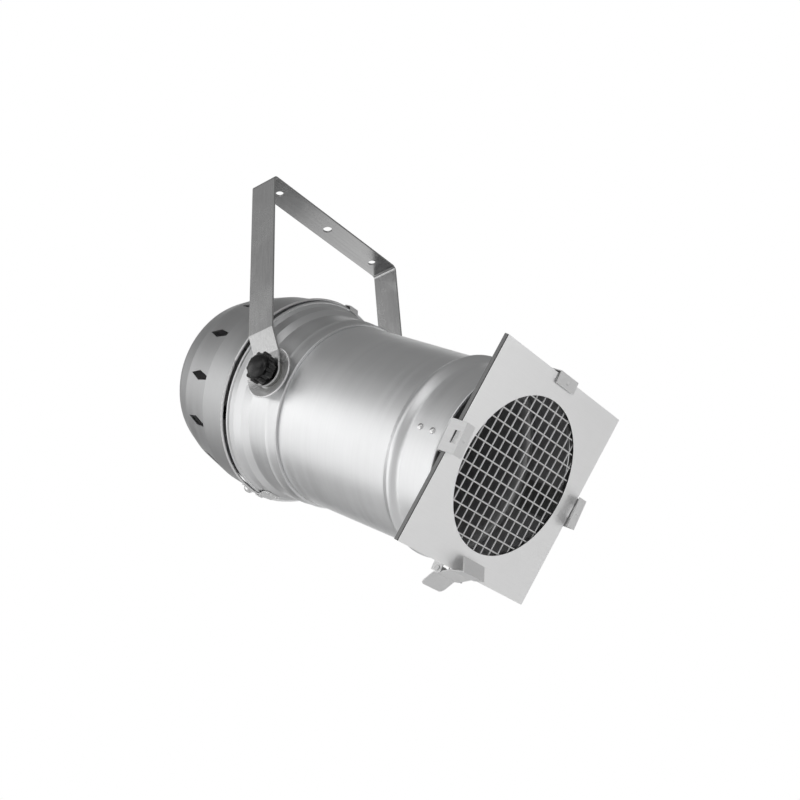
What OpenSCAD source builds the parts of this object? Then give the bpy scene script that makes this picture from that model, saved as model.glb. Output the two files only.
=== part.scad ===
// Long-nose par can: a hanging spotlight with a bent-bar yoke, a square colour frame and a hinged rear cap.
// Millimetres, +Z up. The origin is in the middle of the yoke's centre hole, where a clamp bolt holds it.
// The can's own axes, set by can(): z forward along the beam, x down, y to the left, zero on the tilt axis.

/* [Colour frame] */
// how far the square colour frame reaches past the barrel on each side
frame_over = 8; // [7.5:0.25:9]
// diameter of the round hole in the frame
frame_hole = 195; // [180:1:205]
// sheet thickness of the frame's two plates
frame_sheet = 1.2; // [0.8:0.1:1.4]
// angle at which the loose frame leans in its clips
frame_lean = 4.5; // [0:0.5:4.5]
// diameter of the safety mesh wires
mesh_wire = 1.8; // [1.2:0.1:2]
// distance from wire to wire
mesh_pitch = 14.6; // [12:0.1:20]

/* [Barrel] */
// outside diameter of the barrel
barrel_d = 238; // [236:0.5:240]
// sheet thickness of the spun shells
wall = 1.5; // [1.2:0.1:1.8]
// length of the plain tube between bead and seam
tube_len = 190; // [150:5:240]
// length of the nose in front of the bead
nose_len = 50; // [48:1:60]
// width of the bead round the front
bead_w = 26; // [20:1:30]
// how far the bead stands proud
bead_h = 6; // [3:0.5:7]
// distance from the nose rim to the front of the colour frame
frame_gap = 20; // [19:0.5:22]

/* [Rear housing] */
// distance from the seam back to the tilt axis
seam_to_axis = 29; // [28:0.5:32]
// how far the housing stands out from the barrel at the tilt axis
housing_out = 5; // [4.5:0.1:5.5]
// height of the step up to the band behind the tilt axis
band_out = 7; // [6.5:0.1:7.2]
// how far the housing's rolled rear rim stands out from the band
rim_out = 5.5; // [5:0.1:6]
// length of the housing behind the tilt axis
housing_back = 53; // [52:0.5:55]

/* [Rear cap] */
// gap between the housing rim and the cap flange
cap_gap = 5; // [4:0.5:6]
// how far the cap flange stands out from the housing's rim
flange_out = 2.5; // [2:0.1:2.8]
// how much the front cone of the cap draws in
cone_a_in = 7; // [6:0.25:9]
// how much the rear cone of the cap draws in
cone_b_in = 12; // [9:0.25:14]
// length of the front cone
cone_a = 50; // [46:1:54]
// length of the rear cone that has the vents
cone_b = 54; // [50:1:60]
// length of the sloped face behind the shoulder
end_slope = 26; // [20:1:30]
// angle at which that face draws in
end_angle = 20; // [12:1:25]
// radius of the rounded corner of the flat back
end_r = 36; // [30:1:38]
// number of pointed vents
vents = 13; // [8:1:14]
// length of a vent along the can
vent_len = 44; // [30:1:46]
// width of a vent round the can
vent_w = 13; // [8:0.5:16]
// turn of the ring of vents about the beam axis
vent_turn = 7.5; // [0:0.1:25]

/* [Yoke] */
// width of the flat bar
strap_w = 38; // [34:1:38]
// thickness of the flat bar
strap_t = 3; // [2.5:0.5:3]
// distance above the tilt axis where a leg bends outwards
joggle_at = 24; // [22:1:30]
// length of the sloping part of a leg
joggle_len = 29; // [20:1:40]
// distance from the origin down to the tilt axis
yoke_drop = 297; // [280:1:310]
// gap between a leg and the cap's flange, just above the sloping part
leg_gap = 4.5; // [3:0.25:7]
// how much a leg draws in from there up to the bar
leg_lean = 8.5; // [3:0.5:10]
// radius of the hole for the clamp bolt
clamp_hole_r = 6.5; // [5:0.25:6.5]
// radius of the two outer holes
side_hole_r = 5.5; // [4:0.25:6]
// distance between the two outer holes
side_hole_gap = 208; // [180:2:220]
// downward tilt of the can at rest
rest_tilt = 35.5; // [0:0.5:60]

/* [Tilt joint] */
// radius of the tilt bolts
bolt_r = 4; // [3:0.5:5]
// radius of the flat base of each dished cup
cup_base_r = 20; // [19.5:0.25:20.5]
// radius of the cup's mouth
cup_mouth_r = 33; // [31:0.25:33.5]
// depth of the cup
cup_depth = 7; // [6.8:0.1:7.6]
// sheet thickness of the cup
cup_t = 1.2; // [1:0.1:1.2]
// radius of the knob's dome
knob_r = 16; // [14:0.5:18]
// height of the knob's lobes
lobe_h = 11; // [8:0.5:14]
// height of the knob's dome above its lobes
dome_h = 8; // [5:0.5:10]
// number of lobes on a knob
knob_lobes = 10; // [6:1:12]

/* [Clips and latch] */
// width of a frame clip
clip_w = 38; // [30:1:38]
// sheet thickness of the clips
clip_t = 1.2; // [1:0.1:1.2]
// distance from the frame's face to the clip's lip
lip_gap = 12; // [10:0.5:14]
// length of the lip over the frame
lip_len = 15; // [10:0.5:16]
// radius of a rivet shank
rivet_r = 2; // [1.5:0.25:2.5]
// width of the frame latch
latch_w = 42; // [36:1:46]
// length of the latch's finger tab
tab_len = 21.5; // [16:0.5:24]
// radius of the latch pin
latch_pin_r = 2; // [1.5:0.1:2.2]

/* [Lamp] */
// diameter of the sealed lamp
lamp_d = 203; // [200:1:205]
// depth of the lamp's reflector
lamp_depth = 78; // [70:1:82]

/* [Hidden] */
$fn = 96;
run = 0.05;            // running clearance on a radius
seat = 0.2;            // gap between two curved shells that lie on each other
drill = 12;            // reach of a drilled hole
screw_r = 2;           // shank radius of the small screws
head_h = 2.2;          // height of a small screw's head
barrel_r = barrel_d / 2;
barrel_in = barrel_r - wall;
frame_side = barrel_d + 2 * frame_over;
housing_r = barrel_r + housing_out;
band_r = housing_r + band_out;
rim_r = band_r + rim_out;
flange_r = rim_r + flange_out;
break_r = flange_r - cone_a_in;
shoulder_r = break_r - cone_b_in;
z_seam = seam_to_axis;
z_bead_a = z_seam + tube_len;
z_bead_b = z_bead_a + bead_w;
z_rim = z_bead_b + nose_len;
z_face = z_rim + frame_gap;
z_tail = z_seam - 12;
z_house = -housing_back;
z_cap = z_house - cap_gap;
z_break = z_cap - cone_a;
z_shoulder = z_break - cone_b;
z_end = z_shoulder - end_slope * cos(end_angle) - end_r * (1 - sin(end_angle));
cup_roll = 1.2;        // radius of the rolled edge of a cup
cup_lo = housing_r + seat;
cup_top = cup_lo + cup_depth + max(cup_roll, cup_t);
foot_in = cup_top + run;
foot_out = foot_in + strap_t;
leg_in = flange_r + leg_gap;
bar_in = leg_in - leg_lean;

// Unit vector from a to b, and its left normal.
function along(a, b) = (b - a) / norm(b - a);
function left_of(d) = [-d[1], d[0]];
function rev(p) = [for (i = [len(p) - 1 : -1 : 0]) p[i]];
// The path moved sideways by s, with mitred corners.
function aside(p, s) = [for (i = [0 : len(p) - 1])
    let (a = left_of(along(p[max(i - 1, 0)], p[max(i, 1)])),
         b = left_of(along(p[min(i, len(p) - 2)], p[min(i + 1, len(p) - 1)])),
         m = (a + b) / norm(a + b))
    p[i] + m * s / (m * b)];

// Turns from the hanging frame into the can's own axes.
module can() {
    translate([0, 0, -yoke_drop])
        rotate([0, 90 + rest_tilt, 0])
            children();
}

// Section of a spun sheet that follows a path and is t thick on its left side.
module spun(path, t) {
    polygon(concat(path, rev(aside(path, t))));
}

// A sheet strip that follows a path in the x-z plane, w wide along y.
module strip(path, t, w) {
    rotate([90, 0, 0])
        translate([0, 0, -w / 2])
            linear_extrude(w)
                polygon(concat(aside(path, t / 2), rev(aside(path, -t / 2))));
}

// A hole or stud straight out from the beam axis, at an angle from straight down.
module radial(phi, r, z) {
    rotate([0, 0, phi])
        translate([r, 0, z])
            rotate([0, 90, 0])
                children();
}

module round_head(grip, shank_r, head_r, head_h) {
    rotate_extrude()
        polygon(concat(
            [[0, -grip - 1], [1.6 * shank_r, -grip - 1], [1.6 * shank_r, -grip], [shank_r, -grip],
             [shank_r, 0], [head_r, 0]],
            [for (a = [10 : 10 : 90]) [head_r * cos(a), head_h * sin(a)]]));
}

// Yoke: path of the bar's middle line, seen along the can's side.
bend_r = 6;
leg_mid = leg_in + strap_t / 2;
bar_mid = bar_in + strap_t / 2;
spread = atan((leg_in - bar_in) / (yoke_drop - joggle_at - joggle_len));
foot_mid = foot_in + strap_t / 2;
foot_r = strap_w / 2 + 0.6;
yoke_half = concat(
    [[foot_mid, -yoke_drop - foot_r - 4], [foot_mid, -yoke_drop + joggle_at],
     [leg_mid, -yoke_drop + joggle_at + joggle_len]],
    [for (i = [0 : 9])
        let (a = spread + (90 - spread) * i / 9)
        [bar_mid - bend_r + bend_r * cos(a), -bend_r + bend_r * sin(a)]]);

module yoke() {
    color([0.72, 0.73, 0.74])
        difference() {
            rotate([90, 0, 90])
                translate([0, 0, -strap_w / 2])
                    linear_extrude(strap_w)
                        yoke_outline();
            cylinder(r = clamp_hole_r, h = 3 * strap_t, center = true);
            for (s = [-1, 1]) {
                translate([0, s * side_hole_gap / 2, 0])
                    cylinder(r = side_hole_r, h = 3 * strap_t, center = true);
                translate([0, s * foot_mid, -yoke_drop])
                    rotate([90, 0, 0])
                        foot_cut();
            }
        }
}

module yoke_outline() {
    path = concat(yoke_half, [for (p = rev(yoke_half)) [-p[0], p[1]]]);
    polygon(concat(aside(path, strap_t / 2), rev(aside(path, -strap_t / 2))));
}

// Takes away the corners below the tilt axis and drills the bolt hole.
module foot_cut() {
    cylinder(r = bolt_r + run, h = 3 * strap_t, center = true);
    difference() {
        translate([-strap_w, -strap_w, -strap_t])
            cube([2 * strap_w, strap_w, 2 * strap_t]);
        cylinder(r = foot_r, h = 3 * strap_t, center = true);
    }
}

// Barrel: spun tube with the front bead and a rolled nose rim.
bead_path = [for (i = [0 : 20]) [barrel_r + bead_h * (1 - cos(18 * i)) / 2, z_bead_a + bead_w * i / 20]];
nose_roll = 2;
rivet_z = [z_rim - 38, z_rim - 19];
clip_tail = 46;
clip_phi = [-90, 90, 180];

module barrel() {
    color([0.78, 0.79, 0.8])
        difference() {
            rotate_extrude() {
                spun(concat([[barrel_r, z_tail]], bead_path, [[barrel_r, z_rim - nose_roll]]), wall);
                translate([barrel_in + nose_roll + 0.3, z_rim - nose_roll])
                    circle(r = nose_roll);
            }
            for (phi = concat(clip_phi, [0]), z = rivet_z)
                radial(phi, barrel_r, z)
                    cylinder(r = rivet_r + run, h = drill, center = true);
        }
}

// Rear housing: seam lip, plain section with the tilt bolts, step, band and rolled rim.
step_z = -21;
step_len = 10;
rim_roll = 2;
rim_len = 9;
band_drop = 2;
seam_roll = 1.5;
lip_r = barrel_r + seat + wall;
house_path = [[rim_r - 1.5, z_house + rim_roll], [band_r, z_house + rim_len],
    [band_r - band_drop, step_z - step_len], [housing_r, step_z], [housing_r, z_seam - 18], [lip_r, z_seam - 6],
    [lip_r, z_seam + seam_roll]];

module rear_housing() {
    color([0.78, 0.79, 0.8])
        difference() {
            rotate_extrude() {
                spun(house_path, wall);
                translate([lip_r + 0.4, z_seam])
                    circle(r = seam_roll);
                translate([rim_r - rim_roll, z_house + rim_roll])
                    circle(r = rim_roll);
            }
            for (phi = [-90, 90])
                radial(phi, housing_r, 0)
                    cylinder(r = bolt_r + run, h = drill, center = true);
            on_leaf(0)
                cylinder(r = rivet_r + run, h = drill, center = true);
        }
}

// Rear cap: rolled flange, two cones, shoulder groove and a rounded end with a flat back.
flange_roll = 1.8;
cone_top = flange_r - 2.5;
end_x = shoulder_r - end_slope * sin(end_angle) - end_r * cos(end_angle);
cap_path = concat(
    [[flange_r - flange_roll, z_cap - flange_roll], [cone_top - 0.2, z_cap - flange_roll - 2.8],
     [break_r, z_break], [shoulder_r, z_shoulder]],
    [for (a = [end_angle : (90 - end_angle) / 7 : 90.01])
        [end_x + end_r * cos(a), z_end + end_r * (1 - sin(a))]],
    [[0, z_end]]);
gland_x = end_x - 22;
gland_r = 8;
earth_at = [-20, end_x - 22];
bracket_x = 15 - end_x;

module rear_cap() {
    color([0.75, 0.76, 0.77])
        difference() {
            union() {
                rotate_extrude()
                    spun(cap_path, -wall);
                rotate_extrude()
                    translate([flange_r - flange_roll, z_cap - flange_roll])
                        circle(r = flange_roll);
            }
            for (i = [0 : vents - 1])
                vent_cut(vent_turn + i * 360 / vents);
            translate([gland_x, 0, z_end])
                cylinder(r = gland_r + run, h = drill, center = true);
            for (at = [earth_at, [bracket_x, 0]])
                translate([at[0], at[1], z_end])
                    cylinder(r = screw_r + run, h = drill, center = true);
            for (phi = [0, 180])
                on_cap(phi, 0)
                    cylinder(r = rivet_r + run, h = drill, center = true);
        }
}

// A vent has one pointed end, and one blunt end at the break between the two cones.
vent_blunt = 0.2;
module vent_cut(phi) {
    radial(phi, shoulder_r - 2 * wall, z_break - 1 - vent_len / 2)
        linear_extrude(cone_b_in + 4 * wall)
            polygon([[vent_len / 2, 0], [0, vent_w / 2], [-vent_len / 2, vent_blunt * vent_w],
                [-vent_len / 2, -vent_blunt * vent_w], [0, -vent_w / 2]]);
}

// Tilt joint: dished cup, bolt, washer and knob, built for the left side and mirrored for the right.
washer_t = 1.6;
washer_lo = foot_out + run;
knob_lo = washer_lo + washer_t + run;
washer_r = 11;
spacer_r = 17;
hub_r = 9;
hub_h = 3;
lobe_r = 3.4;
bolt_end = knob_lo + hub_h + lobe_h + 2;
bolt_head_r = 9;
bolt_seat = sqrt(pow(housing_r - wall, 2) - pow(bolt_head_r, 2)) - 0.1;
cup_slot = [cup_mouth_r - cup_base_r - 5, 1.2, cup_depth + 3];

module on_side(s) {
    can()
        rotate([-90 * s, 0, 0])
            children();
}

module cup(s) {
    color([0.86, 0.87, 0.88])
        on_side(s)
            difference() {
                rotate_extrude() {
                    spun([[bolt_r + run, cup_lo], [cup_base_r, cup_lo], [cup_mouth_r, cup_lo + cup_depth]], cup_t);
                    translate([cup_mouth_r, cup_lo + cup_depth])
                        circle(r = cup_roll);
                }
                for (a = [30 : 60 : 330])
                    rotate([0, 0, a])
                        translate([cup_base_r + 1.5, -cup_slot[1] / 2, cup_lo - 1])
                            cube(cup_slot);
            }
}

// Fibre ring in the cup, under the yoke's foot.
module spacer(s) {
    color([0.12, 0.12, 0.12])
        on_side(s)
            rotate_extrude()
                translate([bolt_r + run, cup_lo + cup_t + run])
                    square([spacer_r - bolt_r, foot_in - cup_lo - cup_t - 2 * run]);
}

module bolt(s) {
    color([0.6, 0.6, 0.62])
        on_side(s)
            rotate_extrude()
                polygon(concat(
                    [for (a = [90 : -15 : 0]) [bolt_head_r * cos(a), bolt_seat - 2.2 - 2.6 * sin(a)]],
                    [[bolt_head_r, bolt_seat], [bolt_r, bolt_seat], [bolt_r, bolt_end - 1], [bolt_r - 1, bolt_end],
                     [0, bolt_end]]));
}

module tilt_washer(s) {
    color([0.7, 0.7, 0.72])
        on_side(s)
            rotate_extrude()
                translate([bolt_r + run, washer_lo])
                    square([washer_r - bolt_r, washer_t]);
}

module knob(s) {
    color([0.06, 0.06, 0.065])
        on_side(s)
            difference() {
                union() {
                    translate([0, 0, knob_lo])
                        cylinder(r = hub_r, h = hub_h + 1);
                    translate([0, 0, knob_lo + hub_h])
                        cylinder(r = knob_r + 1, h = lobe_h);
                    for (i = [0 : knob_lobes - 1])
                        rotate([0, 0, i * 360 / knob_lobes])
                            translate([knob_r + 1, 0, knob_lo + hub_h + 0.4])
                                cylinder(r = lobe_r, h = lobe_h - 1.4, $fn = 32);
                    rotate_extrude()
                        polygon(concat(
                            [[0, knob_lo + hub_h + 1], [knob_r, knob_lo + hub_h + 1]],
                            [for (a = [0 : 7.5 : 90])
                                [knob_r * cos(a), knob_lo + hub_h + lobe_h + dome_h * sin(a)]]));
                }
                translate([0, 0, knob_lo - 1])
                    cylinder(r = bolt_r + run, h = bolt_end - knob_lo + 2);
            }
}

// Frame clips: a strip riveted inside the nose, stepped outwards round the frame's edge and over its face.
tail_r = sqrt(pow(barrel_in, 2) - pow(clip_w / 2, 2)) - clip_t / 2 - 0.15;
edge_gap = 2.5;
web_r = frame_side / 2 + edge_gap + clip_t / 2;
lip_z = z_face + lip_gap;
slot_z = z_face + 5;
slot_w = 15;
slot_h = 9;
dimple_r = 6;
clip_path = [[tail_r, z_rim - clip_tail], [tail_r, z_rim + 1.3], [web_r, z_rim + 9.5],
    [web_r, lip_z], [web_r - lip_len, lip_z]];

module frame_clip(phi) {
    color([0.8, 0.81, 0.82])
        can()
            rotate([0, 0, phi])
                difference() {
                    strip(clip_path, clip_t, clip_w);
                    translate([web_r, 0, slot_z])
                        cube([drill, slot_w, slot_h], center = true);
                    for (z = rivet_z)
                        translate([tail_r, 0, z])
                            rotate([0, 90, 0])
                                cylinder(r = rivet_r + run, h = drill, center = true);
                    translate([web_r - lip_len / 2, 0, lip_z + clip_t / 2 + dimple_r - 0.7])
                        sphere(r = dimple_r);
                }
}

module clip_rivets() {
    color([0.84, 0.85, 0.86])
        can()
            for (phi = clip_phi, z = rivet_z)
                radial(phi, barrel_r + 0.1, z)
                    round_head(barrel_r - tail_r + clip_t / 2 + 0.15, rivet_r, 2 * rivet_r, 1.1 * rivet_r);
}

// Frame latch below the nose: bracket, pin, torsion spring and the latch with its lip and finger tab.
pin_at = [barrel_r + 13, z_rim - 10];
bracket_t = 1.5;
bracket_lo = barrel_r + seat;
bracket_half = latch_w / 2 + 2;
bracket_len = 40.5;
cheek_len = 13.8;
knuckle_r = 4;
knuckle_len = 12;

module latch_bracket() {
    color([0.8, 0.81, 0.82])
        can()
            difference() {
                union() {
                    translate([bracket_lo, -bracket_half, z_rim - bracket_len - 4.5])
                        cube([bracket_t, 2 * bracket_half, bracket_len]);
                    for (s = [-1, 1])
                        translate([bracket_lo, s * (bracket_half - bracket_t / 2) - bracket_t / 2, pin_at[1] - 8])
                            cube([pin_at[0] - bracket_lo + knuckle_r, bracket_t, cheek_len]);
                }
                translate([pin_at[0], 0, pin_at[1]])
                    rotate([90, 0, 0])
                        cylinder(r = latch_pin_r + run, h = 3 * bracket_half, center = true);
                for (z = rivet_z)
                    radial(0, barrel_r, z)
                        cylinder(r = rivet_r + run, h = drill, center = true);
            }
}

module bracket_rivets() {
    color([0.84, 0.85, 0.86])
        can()
            for (z = rivet_z)
                radial(0, bracket_lo + bracket_t, z)
                    round_head(bracket_t + seat + wall + 0.3, rivet_r, 2 * rivet_r, rivet_r);
}

module latch_pin() {
    color([0.6, 0.6, 0.62])
        can()
            translate([pin_at[0], 0, pin_at[1]])
                rotate([90, 0, 0]) {
                    cylinder(r = latch_pin_r, h = 2 * bracket_half + 3, center = true);
                    for (s = [-1, 1])
                        translate([0, 0, s * (bracket_half + 0.8)])
                            cylinder(r = 1.6 * latch_pin_r, h = 1.2, center = true);
                }
}

// Fold, plate and lip of the latch in the x-z plane.
latch_fold = [pin_at[0] + knuckle_r + 1.3, pin_at[1] - 4];
latch_knee = [pin_at[0] + knuckle_r + 0.1, pin_at[1] + 2];
tab_angle = 33;
frame_low = frame_side / 2 * cos(frame_lean);
frame_low_z = z_face - frame_side / 2 * sin(frame_lean);
latch_rest = frame_low + run + clip_t / 2;
latch_lip_z = z_face + 5;
latch_path = [latch_fold, latch_knee, [latch_rest, frame_low_z - 2], [latch_rest, frame_low_z + 1.5],
    [latch_rest - 3.5, latch_lip_z], [latch_rest - 19, latch_lip_z - 8]];
tab_corner = 6;

module frame_latch() {
    color([0.82, 0.83, 0.84])
        can()
            difference() {
                union() {
                    strip(latch_path, clip_t, latch_w);
                    for (s = [-1, 1])
                        translate([pin_at[0], s * (latch_w - knuckle_len) / 2, pin_at[1]])
                            rotate([90, 0, 0])
                                cylinder(r = knuckle_r, h = knuckle_len, center = true);
                    translate([latch_fold[0], 0, latch_fold[1]])
                        rotate([0, tab_angle, 0])
                            translate([-clip_t / 2, 0, -clip_t / 2])
                                linear_extrude(clip_t)
                                    finger_tab();
                }
                translate([pin_at[0], 0, pin_at[1]])
                    rotate([90, 0, 0])
                        cylinder(r = latch_pin_r + run, h = 2 * latch_w, center = true);
            }
}

module finger_tab() {
    c = latch_w / 2 - tab_corner;
    polygon(concat(
        [[0, latch_w / 2], [0, -latch_w / 2]],
        [for (a = [-90 : 15 : 0]) [tab_len - tab_corner + tab_corner * cos(a), -c + tab_corner * sin(a)]],
        [for (a = [0 : 15 : 90]) [tab_len - tab_corner + tab_corner * cos(a), c + tab_corner * sin(a)]]));
}

// A round wire along a path of points, as one closed skin with n flats round it.
function across(d) = abs(d[1]) < 0.9 ? cross(d, [0, 1, 0]) : cross(d, [1, 0, 0]);
module wire(path, r, n) {
    last = len(path) - 1;
    rings = [for (i = [0 : last])
        let (d = path[min(i + 1, last)] - path[max(i - 1, 0)], t = d / norm(d),
             u = across(t) / norm(across(t)), v = cross(t, u))
        for (k = [0 : n - 1]) path[i] + r * (cos(360 * k / n) * u + sin(360 * k / n) * v)];
    sides = [for (i = [0 : last - 1], k = [0 : n - 1])
        let (a = i * n + k, b = i * n + (k + 1) % n)
        [a, b, b + n, a + n]];
    polyhedron(rings, concat(
        [for (f = sides) [f[0], f[1], f[2]]], [for (f = sides) [f[0], f[2], f[3]]],
        [[for (k = [n - 1 : -1 : 0]) k]], [[for (k = [0 : n - 1]) last * n + k]]), convexity = 6);
}

// One end of the spring lies on the bracket, and the other bears on the inside of the finger tab.
spring_wire = 0.6;
spring_steps = 68;
spring_half = 6;
coil_r = latch_pin_r + 0.35 + spring_wire;
spring_lo = bracket_lo + bracket_t + 0.3 + spring_wire - pin_at[0];
tab_dir = [cos(tab_angle), -sin(tab_angle)];
tab_start = latch_fold - pin_at + (clip_t / 2 + 0.3 + spring_wire) * [-sin(tab_angle), -cos(tab_angle)];
spring_path = concat(
    [[spring_lo, -spring_half, -10], [spring_lo, -spring_half, 0], [spring_lo + 2.5, -spring_half, coil_r]],
    [for (i = [0 : spring_steps])
        let (a = 180 + i * 22.5)
        [-coil_r * sin(a), spring_half * (2 * i / spring_steps - 1), -coil_r * cos(a)]],
    [for (d = [-1.5, 6]) [tab_start[0] + d * tab_dir[0], spring_half, tab_start[1] + d * tab_dir[1]]]);

module latch_spring() {
    color([0.5, 0.5, 0.52])
        can()
            translate([pin_at[0], 0, pin_at[1]])
                wire(spring_path, spring_wire, 8);
}

// Colour frame: front plate, tray-shaped back plate and the welded mesh between them.
mesh_gap = 2 * mesh_wire + 2 * run;
tray_z = z_face - frame_sheet - mesh_gap;

module leaning() {
    can()
        translate([0, 0, z_face])
            rotate([0, frame_lean, 0])
                translate([0, 0, -z_face])
                    children();
}

module frame_front() {
    color([0.85, 0.85, 0.86])
        leaning()
            translate([0, 0, z_face - frame_sheet])
                linear_extrude(frame_sheet)
                    difference() {
                        square(frame_side, center = true);
                        circle(d = frame_hole);
                    }
}

module frame_back() {
    color([0.75, 0.75, 0.76])
        leaning()
            translate([0, 0, tray_z - frame_sheet]) {
                linear_extrude(frame_sheet)
                    difference() {
                        square(frame_side, center = true);
                        circle(d = frame_hole);
                    }
                linear_extrude(frame_sheet + mesh_gap)
                    difference() {
                        square(frame_side, center = true);
                        square(frame_side - 2, center = true);
                    }
            }
}

mesh_rows = floor((frame_hole / 2 + 6) / mesh_pitch);
mesh_half = mesh_rows * mesh_pitch + 4;

module safety_mesh() {
    color([0.88, 0.88, 0.88])
        leaning()
            for (i = [-mesh_rows : mesh_rows]) {
                translate([i * mesh_pitch, 0, tray_z + 0.75 * mesh_gap])
                    rotate([90, 0, 0])
                        cylinder(d = mesh_wire, h = 2 * mesh_half, center = true, $fn = 32);
                translate([0, i * mesh_pitch, tray_z + 0.25 * mesh_gap])
                    rotate([0, 90, 0])
                        cylinder(d = mesh_wire, h = 2 * mesh_half, center = true, $fn = 32);
            }
}

// Cap hinge at the bottom: two leaves and a pin. Catch at the top: a leaf spring that hooks over the rim.
hinge_x = flange_r - 3;
hinge_z = (z_house + z_cap) / 2;
hinge_pin_r = 1.2;
hinge_roll = cap_gap / 2 - 0.2;
leaf_t = 1.2;
leaf_w = 24;
leaf_mid = seat + 0.1 + leaf_t / 2;
leaf_top = leaf_mid + leaf_t / 2 + 0.1;
leaf_rivet_y = 8;
leaf_rivet_z = z_house + 15;
tongue_w = 7.6;
dome_z = z_cap - 26;
dome_r = 7;
dome_up = 5.5;
cone_slope = (cone_top - break_r) / (cone_a - flange_roll);
band_slope = band_drop / (step_z - step_len - z_house - rim_len);
function on_cone(z, up) = [cone_top - (z_cap - flange_roll - z) * cone_slope + up, z];
function on_band(z, up) = [band_r - (z - z_house - rim_len) * band_slope + up, z];

// The spot of a dome rivet, square to the cap's front cone and up above it.
module on_cap(phi, up) {
    radial(phi, on_cone(dome_z, 0)[0], dome_z)
        rotate([0, atan(cone_slope), 0])
            translate([0, 0, up])
                children();
}

// The two rivet spots of the hinge leaf, square to the housing's band and up above it.
module on_leaf(up) {
    for (y = [-leaf_rivet_y, leaf_rivet_y])
        translate([0, y, 0])
            radial(0, on_band(leaf_rivet_z, 0)[0], leaf_rivet_z)
                rotate([0, -atan(band_slope), 0])
                    translate([0, 0, up])
                        children();
}

module housing_hinge_leaf() {
    color([0.76, 0.77, 0.78])
        can()
            difference() {
                union() {
                    strip([on_band(leaf_rivet_z + 5, leaf_mid), on_band(leaf_rivet_z - 5, leaf_mid),
                        [rim_r + leaf_mid, z_house + 3.6], [rim_r + leaf_mid, z_house + 0.2],
                        [hinge_x + 0.8, hinge_z + 0.6]], leaf_t, leaf_w);
                    translate([hinge_x, 0, hinge_z])
                        rotate([90, 0, 0])
                            cylinder(r = hinge_roll, h = leaf_w, center = true);
                }
                translate([hinge_x, 0, hinge_z])
                    rotate([90, 0, 0]) {
                        cylinder(r = hinge_pin_r + run, h = leaf_w + 2, center = true);
                        cylinder(r = hinge_roll + 2.6, h = tongue_w + 0.4, center = true);
                    }
                on_leaf(0)
                    cylinder(r = rivet_r + run, h = drill, center = true);
            }
}

module cap_hinge_leaf() {
    color([0.76, 0.77, 0.78])
        can()
            difference() {
                union() {
                    strip([[hinge_x + 0.8, hinge_z - 0.6], [flange_r + leaf_mid, z_cap + 0.6],
                        [flange_r + leaf_mid, z_cap - 3.6], on_cone(z_cap - 9, leaf_mid),
                        on_cone(dome_z + dome_r, leaf_mid)], leaf_t, tongue_w);
                    strip([on_cone(dome_z + dome_r + 3, leaf_mid), on_cone(dome_z - dome_r - 1, leaf_mid)],
                        leaf_t, 2 * tongue_w);
                    translate([hinge_x, 0, hinge_z])
                        rotate([90, 0, 0])
                            cylinder(r = hinge_roll, h = tongue_w, center = true);
                }
                translate([hinge_x, 0, hinge_z])
                    rotate([90, 0, 0])
                        cylinder(r = hinge_pin_r + run, h = leaf_w, center = true);
                on_cap(0, 0)
                    cylinder(r = rivet_r + run, h = drill, center = true);
            }
}

module hinge_pin() {
    color([0.6, 0.6, 0.62])
        can()
            translate([hinge_x, 0, hinge_z])
                rotate([90, 0, 0]) {
                    cylinder(r = hinge_pin_r, h = leaf_w + 3, center = true);
                    translate([0, 0, leaf_w / 2 + 0.9])
                        cylinder(r = hinge_pin_r + 0.9, h = 1.4, center = true);
                }
}

module hinge_rivets() {
    color([0.84, 0.85, 0.86])
        can()
            on_leaf(leaf_top)
                round_head(leaf_top + wall + 0.8, rivet_r, 1.8 * rivet_r, rivet_r);
}

module dome_rivet(phi) {
    color([0.86, 0.87, 0.88])
        can()
            on_cap(phi, leaf_top)
                round_head(leaf_top + wall + 0.5, rivet_r, dome_r, dome_up);
}

module cap_catch() {
    color([0.7, 0.71, 0.72])
        can()
            rotate([0, 0, 180])
                difference() {
                    strip([on_cone(dome_z - dome_r - 1, leaf_mid), on_cone(z_cap - 8, leaf_mid),
                        [flange_r + 1.6, z_cap - 2.5], [flange_r + 1.6, z_house + 1.4],
                        [flange_r - 4.8, z_house + 5.6]], leaf_t, 2 * tongue_w);
                    on_cap(0, 0)
                        cylinder(r = rivet_r + run, h = drill, center = true);
                }
}

// Lamp: ring spot-fixed in the housing, wire that holds the lamp's rim, lamp and holder.
lamp_r = lamp_d / 2;
ring_z = -12;
ring_t = 1.2;
collar_r = lamp_r + 1.5;
lamp_rim_z = ring_z - 0.3;
lamp_rim_t = 9;
lamp_back = lamp_rim_z - lamp_depth;
house_in = housing_r - wall;

module lamp_ring() {
    color([0.7, 0.7, 0.71])
        can()
            rotate_extrude() {
                translate([lamp_r - 5, ring_z])
                    square([house_in - seat - lamp_r + 5, ring_t]);
                translate([collar_r, ring_z - 14])
                    square([ring_t, 14.6]);
                translate([house_in - seat - ring_t, ring_z - 7])
                    square([ring_t, 7.6]);
            }
}

module retaining_wire() {
    color([0.55, 0.55, 0.57])
        can()
            rotate([0, 0, 100])
                rotate_extrude(angle = 320)
                    translate([collar_r - 1.35, lamp_rim_z - lamp_rim_t - 2.5])
                        circle(r = 1.2);
}

reflector_path = concat(
    [[lamp_r, lamp_rim_z - 3], [lamp_r, lamp_rim_z - lamp_rim_t]],
    [for (i = [1 : 14])
        let (k = i / 14, r = lamp_r - 2 - (lamp_r - 24) * k)
        [r, lamp_back + (lamp_depth - lamp_rim_t) * (pow(r / (lamp_r - 2), 2) - pow(22 / (lamp_r - 2), 2))]]);

module lamp_reflector() {
    color([0.8, 0.8, 0.82])
        can()
            rotate_extrude()
                spun(reflector_path, -2.5);
}

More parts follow.
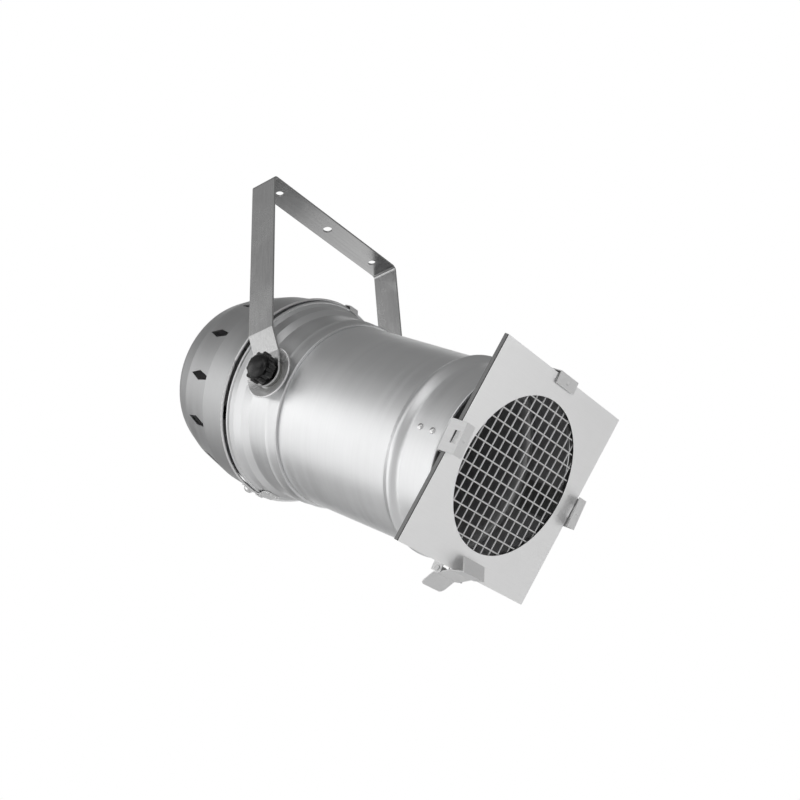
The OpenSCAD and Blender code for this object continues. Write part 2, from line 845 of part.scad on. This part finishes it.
module lamp_lens() {
    color([0.85, 0.9, 0.92, 0.5])
        can()
            rotate_extrude()
                polygon(concat(
                    [[0, lamp_rim_z - 2.9], [lamp_r, lamp_rim_z - 2.9], [lamp_r, lamp_rim_z], [lamp_r - 6, lamp_rim_z]],
                    [for (a = [75 : -15 : 0]) [(lamp_r - 6) * sin(a), lamp_rim_z + 7 * cos(a)]]));
}

base_r = 22;
base_len = 20;
blade_gap = 17;
blade = [2, 10, 24];
blade_out = 3;
blade_play = 0.4;

module lamp_base() {
    color([0.9, 0.89, 0.86])
        can()
            translate([0, 0, lamp_back - base_len])
                difference() {
                    cylinder(r = base_r, h = base_len - 0.2);
                    for (s = [-1, 1])
                        translate([s * blade_gap / 2, 0, 0])
                            cube([blade[0] + blade_play, blade[1] + blade_play, base_len], center = true);
                }
}

module lamp_blades() {
    color([0.75, 0.7, 0.5])
        can()
            for (s = [-1, 1])
                translate([s * blade_gap / 2, 0, lamp_back - base_len - blade_out])
                    cube(blade, center = true);
}

holder_z = lamp_back - base_len - 0.5;
holder = [50, 30, 30];
contact = [1.8, 14, 15];
socket = [blade[0] + 2 * contact[0] + 0.8, contact[1] + blade_play, holder[2]];
holder_hole_r = 2.2;

module lampholder() {
    color([0.92, 0.91, 0.88])
        can()
            translate([0, 0, holder_z - holder[2] / 2])
                difference() {
                    cube(holder, center = true);
                    for (s = [-1, 1]) {
                        translate([s * blade_gap / 2, 0, holder[2] / 6])
                            cube(socket, center = true);
                        translate([s * 0.4 * holder[0], 0, 0])
                            cylinder(r = holder_hole_r, h = 2 * holder[2], center = true);
                    }
                }
}

module holder_contacts() {
    color([0.8, 0.65, 0.3])
        can()
            for (s = [-1, 1], t = [-1, 1])
                translate([s * blade_gap / 2 + t * (blade[0] / 2 + 0.2 + contact[0] / 2), 0, holder_z - 12])
                    cube(contact, center = true);
}

// Cable gland in the flat back of the cap; its cord isn't part of the model.
cable_r = 4.2;
hex_r = 12;
hex_h = 5;
back_in = z_end + wall;

module cable_gland() {
    color([0.08, 0.08, 0.085])
        can()
            translate([gland_x, 0, z_end])
                difference() {
                    union() {
                        cylinder(r = gland_r, h = wall + hex_h + 4.5);
                        translate([0, 0, -hex_h])
                            cylinder(r = hex_r, h = hex_h, $fn = 6);
                        rotate_extrude()
                            polygon([[0, -18], [7, -18], [9.5, -14], [10.5, -hex_h], [0, -hex_h]]);
                    }
                    cylinder(r = cable_r, h = 50, center = true);
                }
}

module gland_nut() {
    color([0.1, 0.1, 0.105])
        can()
            translate([gland_x, 0, back_in])
                difference() {
                    cylinder(r = hex_r, h = hex_h, $fn = 6);
                    cylinder(r = gland_r + run, h = 3 * hex_h, center = true);
                }
}

module earth_screw() {
    color([0.8, 0.66, 0.3])
        can()
            translate([earth_at[0], earth_at[1], z_end]) {
                cylinder(r = screw_r, h = 12);
                translate([0, 0, -head_h])
                    difference() {
                        cylinder(r = 2 * screw_r, h = head_h);
                        cube([screw_r / 2, 5 * screw_r, head_h], center = true);
                    }
                translate([0, 0, wall])
                    cylinder(r = 2 * screw_r, h = 3, $fn = 6);
            }
}

// Terminal block on an angle bracket inside the cap.
angle = [18, 40, 24];
angle_t = 1.5;
block = [14, 36, 14];

module terminal_bracket() {
    color([0.72, 0.73, 0.74])
        can()
            translate([bracket_x, 0, back_in])
                difference() {
                    union() {
                        translate([-angle[0] / 2, -angle[1] / 2, 0])
                            cube([angle[0], angle[1], angle_t]);
                        translate([angle[0] / 2 - angle_t, -angle[1] / 2, 0])
                            cube([angle_t, angle[1], angle[2]]);
                    }
                    cylinder(r = screw_r + run, h = drill, center = true);
                }
        can()
            translate([bracket_x, 0, z_end]) {
                translate([0, 0, -head_h])
                    cylinder(r = 2 * screw_r, h = head_h);
                cylinder(r = screw_r, h = 7);
            }
}

module terminal_block() {
    color([0.93, 0.92, 0.9])
        can()
            translate([bracket_x + angle[0] / 2, 0, back_in + block[2]])
                difference() {
                    translate([0, -block[1] / 2, -block[2] / 2])
                        cube(block);
                    for (i = [-1 : 1])
                        translate([block[0] / 2, i * block[1] / 3, 0])
                            rotate([0, 90, 0])
                                cylinder(r = 3, h = block[0]);
                }
}

yoke();
can() barrel();
can() rear_housing();
can() rear_cap();
cup(-1);  // right_cup
cup(1);  // left_cup
spacer(-1);  // right_spacer
spacer(1);  // left_spacer
bolt(-1);  // right_bolt
bolt(1);  // left_bolt
tilt_washer(-1);  // right_washer
tilt_washer(1);  // left_washer
knob(-1);  // right_knob
knob(1);  // left_knob
frame_clip(180);  // top_clip
frame_clip(-90);  // right_clip
frame_clip(90);  // left_clip
clip_rivets();
latch_bracket();
bracket_rivets();
latch_pin();
latch_spring();
frame_latch();
frame_front();
frame_back();
safety_mesh();
housing_hinge_leaf();
cap_hinge_leaf();
hinge_pin();
hinge_rivets();
cap_catch();
dome_rivet(180);  // catch_rivet
dome_rivet(0);  // leaf_rivet
lamp_ring();
retaining_wire();
lamp_lens();
lamp_reflector();
lamp_base();
lamp_blades();
lampholder();
holder_contacts();
cable_gland();
gland_nut();
earth_screw();
terminal_bracket();
terminal_block();
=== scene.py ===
import bpy
import math
from mathutils import Matrix, Vector

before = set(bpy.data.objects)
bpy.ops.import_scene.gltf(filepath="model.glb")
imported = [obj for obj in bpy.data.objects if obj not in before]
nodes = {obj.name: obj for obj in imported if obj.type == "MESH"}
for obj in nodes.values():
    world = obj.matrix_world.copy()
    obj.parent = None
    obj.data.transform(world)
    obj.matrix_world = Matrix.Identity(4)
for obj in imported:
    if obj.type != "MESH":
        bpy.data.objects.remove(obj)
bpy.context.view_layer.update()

# The can's own axes: z forward along the beam, x down, y to the left, zero on the tilt axis.
# They lie DROP under the frame's origin and are turned by TILT about y. All lengths are in metres.
DROP = 0.297
TILT = math.radians(125.5)

# Camera: the photograph's view, with the picture's own directions in the world. A scratch program
# fitted the place, the directions and the lens to the colour frame's corners and the can's rings.
CAMERA_PLACE = (0.94279, -1.24262, -1.18678)
RIGHT = Vector((0.808746, 0.585426, -0.056626))
DOWN = Vector((-0.333777, 0.377555, -0.863739))
AHEAD = Vector((-0.484276, 0.717446, 0.500748))
LENS_MM = 61.964
SENSOR_MM = 36.0


def add_camera():
    data = bpy.data.cameras.new("camera")
    data.sensor_fit = "HORIZONTAL"
    data.sensor_width = SENSOR_MM
    data.lens = LENS_MM
    camera = bpy.data.objects.new("camera", data)
    turn = Matrix((RIGHT, -DOWN, -AHEAD)).transposed()
    camera.matrix_world = Matrix.Translation(CAMERA_PLACE) @ turn.to_4x4()
    bpy.context.scene.collection.objects.link(camera)
    bpy.context.scene.camera = camera


# Nodes
NOISE_LOW, NOISE_HIGH = 0.3, 0.7        # most of a noise lies between these
BUMP_DEPTH = 0.0003
ACROSS = (1, 1, 0)                      # leaves out the way along the beam
FORWARD = (0, 0, 1)
WHITE = (1, 1, 1)
# The two inputs and the output that a Mix node uses for each kind of value.
MIX_SOCKETS = {"FLOAT": (2, 3, 0), "VECTOR": (4, 5, 1), "RGBA": (6, 7, 2)}


def is_output(value):
    return hasattr(value, "is_linked")


def paint(colour):
    """Three numbers as a colour socket takes them, or another node's output as it is."""
    return colour if is_output(colour) else (*colour, 1.0)


def grey(level):
    return (level, level, level)


class Net:
    """Builds the nodes of a material or a world with short calls."""

    def __init__(self, owner, output="ShaderNodeOutputMaterial"):
        owner.use_nodes = True
        self.owner = owner
        self.tree = owner.node_tree
        self.tree.nodes.clear()
        self.surface = self.node(output).inputs["Surface"]

    def node(self, kind, **settings):
        node = self.tree.nodes.new(kind)
        for key, value in settings.items():
            setattr(node, key, value)
        return node

    def link(self, output, socket):
        self.tree.links.new(output, socket)

    def put(self, socket, value):
        """Links another node's output to the socket, or sets a plain value on it."""
        if is_output(value):
            self.link(value, socket)
        else:
            socket.default_value = value

    def put_all(self, node, values):
        for socket, value in zip(node.inputs, values):
            self.put(socket, value)

    def math(self, operation, *values):
        node = self.node("ShaderNodeMath", operation=operation)
        self.put_all(node, values)
        return node.outputs[0]

    def add(self, first, second):
        return self.math("ADD", first, second)

    def times(self, first, second):
        return self.math("MULTIPLY", first, second)

    def vector(self, operation, *values):
        node = self.node("ShaderNodeVectorMath", operation=operation)
        self.put_all(node, values)
        return node.outputs["Value" if operation in ("DOT_PRODUCT", "LENGTH") else "Vector"]

    def z_of(self, vector):
        node = self.node("ShaderNodeSeparateXYZ")
        self.link(vector, node.inputs[0])
        return node.outputs[2]

    def place(self, vector, scale=(1, 1, 1), location=(0, 0, 0), rotation=(0, 0, 0), kind="POINT"):
        node = self.node("ShaderNodeMapping", vector_type=kind)
        self.link(vector, node.inputs["Vector"])
        node.inputs["Location"].default_value = location
        node.inputs["Rotation"].default_value = rotation
        node.inputs["Scale"].default_value = scale
        return node.outputs[0]

    def noise(self, vector, scale, detail, rough):
        node = self.node("ShaderNodeTexNoise")
        self.link(vector, node.inputs["Vector"])
        node.inputs["Scale"].default_value = scale
        node.inputs["Detail"].default_value = detail
        node.inputs["Roughness"].default_value = rough
        return node.outputs["Fac"]

    def lines(self, vector, scale):
        """Lines that run the way in which the scale is small."""
        return self.noise(self.place(vector, scale=scale), 1.0, 2.0, 0.6)

    def cloud(self, vector, scale):
        return self.noise(vector, scale, 4.0, 0.55)

    def grain(self, vector, scale):
        return self.noise(vector, scale, 2.0, 0.5)

    def ramp(self, value, start, end, low=0.0, high=1.0):
        """Goes smoothly from low at start to high at end, and stays level outside them."""
        node = self.node("ShaderNodeMapRange", interpolation_type="SMOOTHSTEP")
        self.link(value, node.inputs["Value"])
        node.inputs["From Min"].default_value = start
        node.inputs["From Max"].default_value = end
        node.inputs["To Min"].default_value = low
        node.inputs["To Max"].default_value = high
        return node.outputs["Result"]

    def vary(self, noise, middle, amount):
        """Makes a value that the noise moves by the amount to both sides of the middle."""
        return self.ramp(noise, NOISE_LOW, NOISE_HIGH, middle - amount, middle + amount)

    def within(self, value, stretch, first_edge, last_edge):
        """1 inside the stretch, and 0 outside it, with soft edges of the given widths."""
        start, end = stretch
        return self.times(self.ramp(value, start, start + first_edge), self.ramp(value, end, end - last_edge))

    def blend(self, kind, factor, first, second):
        node = self.node("ShaderNodeMix", data_type=kind)
        first_socket, second_socket, result = MIX_SOCKETS[kind]
        self.put(node.inputs["Factor"], factor)
        self.put(node.inputs[first_socket], first)
        self.put(node.inputs[second_socket], second)
        return node.outputs[result]

    def mix(self, factor, first, second):
        return self.blend("RGBA", factor, paint(first), paint(second))

    def tinted(self, value, tint=WHITE):
        node = self.node("ShaderNodeCombineColor")
        for socket, share in zip(node.inputs, tint):
            self.link(self.times(value, share), socket)
        return node.outputs[0]

    def bump(self, height, strength, depth=BUMP_DEPTH, normal=None):
        node = self.node("ShaderNodeBump")
        self.link(height, node.inputs["Height"])
        if normal is not None:
            self.link(normal, node.inputs["Normal"])
        node.inputs["Strength"].default_value = strength
        node.inputs["Distance"].default_value = depth
        return node.outputs[0]

    def shader(self, colour, rough, metallic, normal, **more):
        """Gives the material its shader, and returns the material."""
        node = self.node("ShaderNodeBsdfPrincipled")
        self.put(node.inputs["Base Color"], paint(colour))
        self.put(node.inputs["Roughness"], rough)
        self.put(node.inputs["Metallic"], metallic)
        for key, value in more.items():
            node.inputs[key.replace("_", " ")].default_value = value
        self.link(normal, node.inputs["Normal"])
        self.link(node.outputs[0], self.surface)
        return self.owner

    def own(self):
        """The object's own coordinates."""
        return self.node("ShaderNodeTexCoord").outputs["Object"]

    def can(self):
        """The object's own coordinates turned into the can's axes."""
        return self.place(self.own(), location=(0, 0, -DROP), rotation=(0, TILT, 0), kind="TEXTURE")

    def can_normal(self):
        """The surface's direction in the can's axes."""
        normal = self.node("ShaderNodeTexCoord").outputs["Normal"]
        return self.place(normal, rotation=(0, TILT, 0), kind="TEXTURE")

    def seen(self):
        """1 for the rays that show the studio: camera, glossy and transmission rays."""
        path = self.node("ShaderNodeLightPath")
        seen = self.math("MAXIMUM", path.outputs["Is Camera Ray"], path.outputs["Is Glossy Ray"])
        return self.math("MAXIMUM", seen, path.outputs["Is Transmission Ray"])


# Spun sheet: barrel, housing and cap
TURNING_LINES = (6, 6, 1500)
TURNING_BANDS = (5, 5, 160)
SPUN_TINT = (0.995, 1.0, 1.005)
EDGE_ON, FACING_IN = -0.05, -0.35       # how far outwards the surface faces, where the inside begins
INSIDE_BLUE = 1.02
INSIDE_ROUGHER = 0.1
INSIDE_METAL_LOSS = 0.9
GROOVE_EDGE = 0.006
# Grey of the painted highlight on the inside of the bead's groove.
GROOVE_HIGHLIGHT_GREY = 0.97
GROOVE_SMOOTHER = 0.2
GROOVE_METAL_GAIN = 0.6
RIM_EDGE = 0.001
# Grey of the painted highlight on the outside from the z called rim on.
RIM_HIGHLIGHT_GREY = 0.92
EVEN_EDGES = (0.008, 0.003)
EVEN_SHARE = 0.85


def evened(net, z, outwards, inner, stretch):
    """Turns the outside's shading normals outwards on a stretch of z, most of the way.

    The solid has a taper there, which the photograph doesn't show as a facet.
    """
    outside = net.math("SUBTRACT", EVEN_SHARE, net.times(inner, EVEN_SHARE))
    share = net.times(net.within(z, stretch, *EVEN_EDGES), outside)
    turn = net.node("ShaderNodeVectorTransform", vector_type="NORMAL",
                    convert_from="OBJECT", convert_to="WORLD")
    net.link(net.place(outwards, rotation=(0, TILT, 0)), turn.inputs[0])
    face = net.node("ShaderNodeNewGeometry").outputs["Normal"]
    return net.vector("NORMALIZE", net.blend("VECTOR", share, face, turn.outputs[0]))


def spun(name, base, rough, inside, groove=None, even=None, rim=None):
    """Spun sheet: fine turning lines round the can, faint clouding, and a duller, less metallic inside.

    groove is the stretch of z where the inside of the bead gets a painted highlight, even is the stretch
    whose outside is shaded without its taper, and from the z called rim on the outside gets a painted
    highlight.
    """
    net = Net(bpy.data.materials.new(name))
    can = net.can()
    z = net.z_of(can)
    lines = net.lines(can, TURNING_LINES)
    bands = net.noise(net.place(can, scale=TURNING_BANDS), 1.0, 2.0, 0.5)
    grain = net.grain(can, 900.0)
    outwards = net.vector("NORMALIZE", net.vector("MULTIPLY", can, ACROSS))
    inner = net.ramp(net.vector("DOT_PRODUCT", outwards, net.can_normal()), EDGE_ON, FACING_IN)

    tone = net.add(net.vary(lines, 0, 0.01), net.vary(bands, 0, 0.012))
    tone = net.add(tone, net.vary(net.cloud(can, 9.0), 0, 0.015))
    outer_colour = net.tinted(net.add(tone, base), SPUN_TINT)
    # Painted highlight: from the z called rim on, the outside is coloured a light grey.
    if rim is not None:
        outer_colour = net.mix(net.ramp(z, rim - RIM_EDGE, rim), outer_colour, grey(RIM_HIGHLIGHT_GREY))
    # The inside's grey with a faint blue. Where it is darker than the outside, on the barrel and the housing,
    # it is painted shade of the can's hollow.
    inner_colour = (inside, inside, inside * INSIDE_BLUE)
    in_groove = 0.0
    # Painted highlight: the inside of the bead's groove is coloured a light grey.
    if groove is not None:
        in_groove = net.within(z, groove, GROOVE_EDGE, GROOVE_EDGE)
        inner_colour = net.mix(in_groove, inner_colour, grey(GROOVE_HIGHLIGHT_GREY))

    roughness = net.add(net.vary(bands, 0, 0.03), net.vary(grain, rough, 0.03))
    roughness = net.add(roughness, net.times(inner, INSIDE_ROUGHER))
    smoother = net.times(net.times(in_groove, inner), GROOVE_SMOOTHER)
    roughness = net.math("SUBTRACT", roughness, smoother)
    metal_loss = net.math("MULTIPLY_ADD", in_groove, -GROOVE_METAL_GAIN, INSIDE_METAL_LOSS)
    metallic = net.math("SUBTRACT", 1.0, net.times(inner, metal_loss))
    normal = None
    if even is not None:
        normal = evened(net, z, outwards, inner, even)
    height = net.add(lines, net.times(grain, 0.4))
    return net.shader(net.mix(inner, outer_colour, inner_colour), roughness, metallic,
                      net.bump(height, 0.035, normal=normal))


# Satin sheet: clips, latch, colour frame and small metal pieces
# Where the painted shade on what lies inside the barrel's wall fades in:
BARREL_SHADE_RADII = (0.1185, 0.1175)         # from inside the thickness of the barrel's wall to its inner face
BARREL_SHADE_Z = (0.3, 0.296)                 # from 5 mm to 1 mm in front of the barrel's rim
SIDE_FACE, FLAT_FACE = 0.5, 0.9         # how far forward or back a face looks


def sheet(name, base, rough, line_scale, metallic=1.0, cloud_amount=0.03, line_amount=0.035,
          tint=WHITE, edge=None, barrel_shade_grey=None):
    """Satin sheet or rod with fine lines.

    edge is the grey of painted shade on the side faces, where they differ, and the last argument is the grey
    of painted shade on what lies inside the barrel's wall.
    """
    net = Net(bpy.data.materials.new(name))
    can = net.can()
    lines = net.lines(can, line_scale)
    cloud = net.cloud(can, 14.0)
    grain = net.grain(can, 1100.0)
    colour = net.tinted(net.add(net.vary(lines, base, line_amount), net.vary(cloud, 0, cloud_amount)), tint)
    # Painted shade: the side faces are coloured the grey given as edge.
    if edge is not None:
        forward = net.math("ABSOLUTE", net.vector("DOT_PRODUCT", net.can_normal(), FORWARD))
        colour = net.mix(net.ramp(forward, SIDE_FACE, FLAT_FACE), grey(edge), colour)
    # Painted shade: what lies inside the barrel's wall is coloured a dark grey.
    if barrel_shade_grey is not None:
        radius = net.vector("LENGTH", net.vector("MULTIPLY", can, ACROSS))
        in_barrel_shade = net.times(net.ramp(radius, *BARREL_SHADE_RADII), net.ramp(net.z_of(can), *BARREL_SHADE_Z))
        colour = net.mix(in_barrel_shade, colour, grey(barrel_shade_grey))
    roughness = net.add(net.vary(cloud, 0, 0.04), net.vary(grain, rough, 0.03))
    height = net.add(lines, net.times(grain, 0.5))
    return net.shader(colour, roughness, metallic, net.bump(height, 0.10))


# Plastic, fibre and ceramic
MOTTLE_LOW, MOTTLE_HIGH = 0.35, 0.65
MOTTLE_CONTRAST = 0.15


def plastic(name, base, rough, bump):
    """Mottled and finely grained, without metal."""
    net = Net(bpy.data.materials.new(name))
    own = net.own()
    mottle = net.noise(own, 60.0, 3.0, 0.5)
    dark = [c * (1 - MOTTLE_CONTRAST) for c in base]
    light = [min(1, c * (1 + MOTTLE_CONTRAST)) for c in base]
    colour = net.mix(net.ramp(mottle, MOTTLE_LOW, MOTTLE_HIGH), dark, light)
    height = net.grain(own, 1500.0)
    return net.shader(colour, net.vary(mottle, rough, 0.05), 0.0, net.bump(height, bump, 0.0002))


# The yoke's bar
LEG_LINES = (900, 900, 6)
BAR_LINES = (900, 6, 900)
LINES_TURN = (-0.009, -0.004)           # heights between which the legs' lines give way to the bar's


def yoke_metal():
    """Flat bar with its lines along its length, so they turn from the legs into the top bar."""
    net = Net(bpy.data.materials.new("yoke_bar"))
    own = net.own()
    on_bar = net.ramp(net.z_of(own), *LINES_TURN)
    lines = net.blend("FLOAT", on_bar, net.lines(own, LEG_LINES), net.lines(own, BAR_LINES))
    cloud = net.cloud(own, 18.0)
    grain = net.grain(own, 1000.0)
    colour = net.tinted(net.add(net.vary(lines, 0.585, 0.035), net.vary(cloud, 0, 0.03)))
    roughness = net.add(net.vary(cloud, 0, 0.04), net.vary(grain, 0.235, 0.025))
    height = net.add(lines, net.times(grain, 0.4))
    return net.shader(colour, roughness, 1.0, net.bump(height, 0.06))


# The lamp's lens
LENS_RIBS = (60, 12, 12)
LENS_COLOUR = (0.4, 0.42, 0.43)


def glass():
    """Frosted, ribbed lens glass."""
    net = Net(bpy.data.materials.new("lamp_glass"))
    ribs = net.noise(net.place(net.can(), scale=LENS_RIBS), 1.0, 1.0, 0.4)
    return net.shader(LENS_COLOUR, 0.35, 0.0, net.bump(ribs, 0.4, 0.002), Transmission_Weight=0.6, IOR=1.47)


# Scales of the satin sheets' lines
POLISHED = (60, 60, 60)
PRESSED = (200, 200, 200)
PLATED = (300, 300, 300)
ALONG_BEAM = (500, 500, 20)
ACROSS_BEAM = (900, 30, 30)

# Each material with the pieces that wear it
LOOKS = [
    # The barrel's and the housing's dark inside greys are painted shade of the can's hollow, and the barrel's
    # groove gets a painted highlight.
    (spun("spun_barrel", 0.86, 0.4, 0.38, groove=(0.225, 0.239)), ["barrel"]),
    (spun("spun_housing", 0.8, 0.38, 0.3, even=(0.009, 0.0245)), ["rear_housing"]),
    # The cap's flange is coloured a light grey from the z called rim on: a painted highlight.
    (spun("spun_cap", 0.56, 0.46, 0.85, rim=-0.0625), ["rear_cap"]),
    (yoke_metal(), ["yoke"]),
    (sheet("pressed_cup", 0.86, 0.3, PRESSED, 0.7), ["right_cup", "left_cup"]),
    (sheet("zinc_steel", 0.6, 0.32, PLATED),
     ["right_bolt", "left_bolt", "right_washer", "left_washer", "latch_pin", "hinge_pin",
      "terminal_bracket", "lamp_ring", "retaining_wire", "latch_spring"]),
    (plastic("knob_black", (0.004, 0.004, 0.0045), 0.28, 0.05), ["right_knob", "left_knob"]),
    # The clips' parts that lie inside the barrel's wall get painted shade.
    (sheet("clip_sheet", 0.88, 0.5, ALONG_BEAM, 0.4, line_amount=0.015, barrel_shade_grey=0.2),
     ["top_clip", "right_clip", "left_clip", "housing_hinge_leaf", "cap_hinge_leaf", "cap_catch"]),
    # The latch's sheet is paler and less metallic than the clips': its paleness is painted light, standing in
    # for light from below.
    (sheet("latch_sheet", 0.95, 0.45, ALONG_BEAM, 0.15, line_amount=0.015),
     ["latch_bracket", "frame_latch"]),
    (sheet("rivet_head", 0.8, 0.22, PLATED),
     ["clip_rivets", "bracket_rivets", "hinge_rivets", "catch_rivet", "leaf_rivet"]),
    # The frame's side faces are coloured a near-black grey: painted shade, so the thick frame reads thinner.
    (sheet("frame_sheet", 0.92, 0.5, ACROSS_BEAM, cloud_amount=0.012, line_amount=0.006, edge=0.05),
     ["frame_front"]),
    # The back tray's dark grey is painted shade, so the frame's side reads as a thin dark line.
    (sheet("frame_tray", 0.3, 0.6, ACROSS_BEAM, cloud_amount=0.012, line_amount=0.01), ["frame_back"]),
    (sheet("mesh_wire", 0.93, 0.4, PRESSED, 0.3, line_amount=0.02), ["safety_mesh"]),
    (plastic("friction_fibre", (0.22, 0.22, 0.21), 0.7, 0.5), ["right_spacer", "left_spacer"]),
    (glass(), ["lamp_lens"]),
    (sheet("lamp_mirror", 0.8, 0.12, POLISHED), ["lamp_reflector"]),
    (plastic("lamp_ceramic", (0.78, 0.76, 0.71), 0.6, 0.3), ["lamp_base", "lampholder"]),
    (sheet("brass", 0.7, 0.25, PRESSED, tint=(1.0, 0.82, 0.45)),
     ["lamp_blades", "holder_contacts", "earth_screw"]),
    (plastic("black_nylon", (0.02, 0.02, 0.021), 0.5, 0.3), ["cable_gland", "gland_nut"]),
    (plastic("white_plastic", (0.8, 0.79, 0.76), 0.45, 0.2), ["terminal_block"]),
]


def dress():
    for material, names in LOOKS:
        for name in names:
            slots = nodes[name].data.materials
            slots.clear()
            slots.append(material)


# Studio
MIDDLE = Vector((0.05, 0.0, -0.36))
ROOM_GREY = 0.22
FIELD_EDGE = (27.5, 23.5)               # degrees off the camera's axis, where the white field fades
FLOOR_HEIGHT = -1.75
FLOOR_WIDTH = 12
FLOOR_GREY = 0.8
FLOOR_GLOW = 0.3                        # share of white that the rays that show the floor find in it
LAMP_DISTANCE = 2.4
LAMP_LOWEST = 1.2                       # how far under MIDDLE a lamp may be, to stay above the floor


def studio_world():
    """A grey room with a white field behind the can, which fades into the grey at its edge."""
    world = bpy.data.worlds.new("studio")
    bpy.context.scene.world = world
    net = Net(world, "ShaderNodeOutputWorld")
    direction = net.vector("NORMALIZE", net.node("ShaderNodeTexCoord").outputs["Generated"])
    ahead = net.vector("DOT_PRODUCT", direction, tuple(AHEAD))
    outer, inner = [math.cos(math.radians(angle)) for angle in FIELD_EDGE]
    field = net.ramp(ahead, outer, inner, ROOM_GREY, 1.0)
    background = net.node("ShaderNodeBackground")
    net.link(net.mix(net.seen(), grey(ROOM_GREY), field), background.inputs[0])
    net.link(background.outputs[0], net.surface)


def floor():
    """A pale floor, made paler for the rays that show it. It keeps the object's shadow."""
    bpy.ops.mesh.primitive_plane_add(size=1.0, location=(0, 0, FLOOR_HEIGHT))
    plane = bpy.context.object
    plane.name = "floor"
    plane.scale = (FLOOR_WIDTH, FLOOR_WIDTH, 1)
    net = Net(bpy.data.materials.new("floor"))
    pale = net.node("ShaderNodeBsdfDiffuse")
    pale.inputs["Color"].default_value = paint(grey(FLOOR_GREY))
    white = net.node("ShaderNodeEmission")
    white.inputs["Strength"].default_value = 1.0
    both = net.node("ShaderNodeMixShader")
    net.link(net.times(net.seen(), FLOOR_GLOW), both.inputs[0])
    net.link(pale.outputs[0], both.inputs[1])
    net.link(white.outputs[0], both.inputs[2])
    net.link(both.outputs[0], net.surface)
    plane.data.materials.append(net.owner)


def softbox(name, towards, distance, size, power):
    """An area lamp on the given side of the can, facing it."""
    place = MIDDLE + Vector(towards).normalized() * distance
    data = bpy.data.lights.new(name, "AREA")
    data.shape = "RECTANGLE"
    data.size, data.size_y = size
    data.energy = power
    lamp = bpy.data.objects.new(name, data)
    lamp.location = place
    lamp.rotation_euler = (MIDDLE - place).to_track_quat("-Z", "Y").to_euler()
    bpy.context.scene.collection.objects.link(lamp)


# Side of the can, width and height of the box, and watts, all as if LAMP_DISTANCE away.
# A scratch program chose these lamps and their powers by a fit to the photograph's brightness.
# The powers are rounded, and right_low, right_front and front_low were then lowered.
LAMPS = [
    ("key", (-0.80, -0.60, 0.05), (2.3, 2.3), 4.4),
    ("key_wide", (-0.82, -0.57, 0.08), (2.9, 2.4), 9.5),
    ("key_side", (-0.7, -0.7, 0.08), (2.0, 2.0), 1.1),
    ("key_top", (-0.79, -0.46, 0.4), (1.25, 1.25), 2.0),
    ("left_high", (-0.35, -0.68, 0.64), (1.25, 1.25), 0.7),
    ("left_front_high", (0.37, -0.78, 0.5), (1.25, 1.25), 2.4),
    ("left_mid", (-0.12, -0.96, 0.26), (1.25, 1.25), 4.0),
    ("left_low", (-0.32, -0.88, -0.36), (1.25, 1.25), 4.1),
    ("left_front", (0.7, -0.7, 0.12), (1.25, 1.25), 4.4),
    ("back_left_low", (-0.64, -0.49, -0.6), (1.25, 1.25), 3.4),
    ("right_low", (0.14, 0.82, -0.55), (1.3, 1.3), 3.2),
    ("right_mid", (-0.37, 0.88, -0.31), (1.25, 1.25), 1.8),
    ("right_side", (0.49, 0.86, -0.17), (1.25, 1.25), 0.7),
    ("right_front", (0.81, 0.43, -0.4), (1.25, 1.25), 4.6),
    ("front_low", (0.76, -0.06, -0.64), (1.25, 1.25), 4.0),
    ("back", (-0.86, 0.23, -0.45), (1.25, 1.25), 1.0),
]


def light():
    """Hangs the lamps. Those that look up from far below come nearer, smaller and weaker."""
    for name, towards, size, power in LAMPS:
        distance = min(LAMP_DISTANCE, LAMP_LOWEST / max(0.01, -towards[2]))
        near_size = [side * distance / LAMP_DISTANCE for side in size]
        softbox(name, towards, distance, near_size, power * (distance / LAMP_DISTANCE) ** 2)


add_camera()
dress()
studio_world()
light()
floor()
bpy.context.scene.view_settings.view_transform = "Standard"
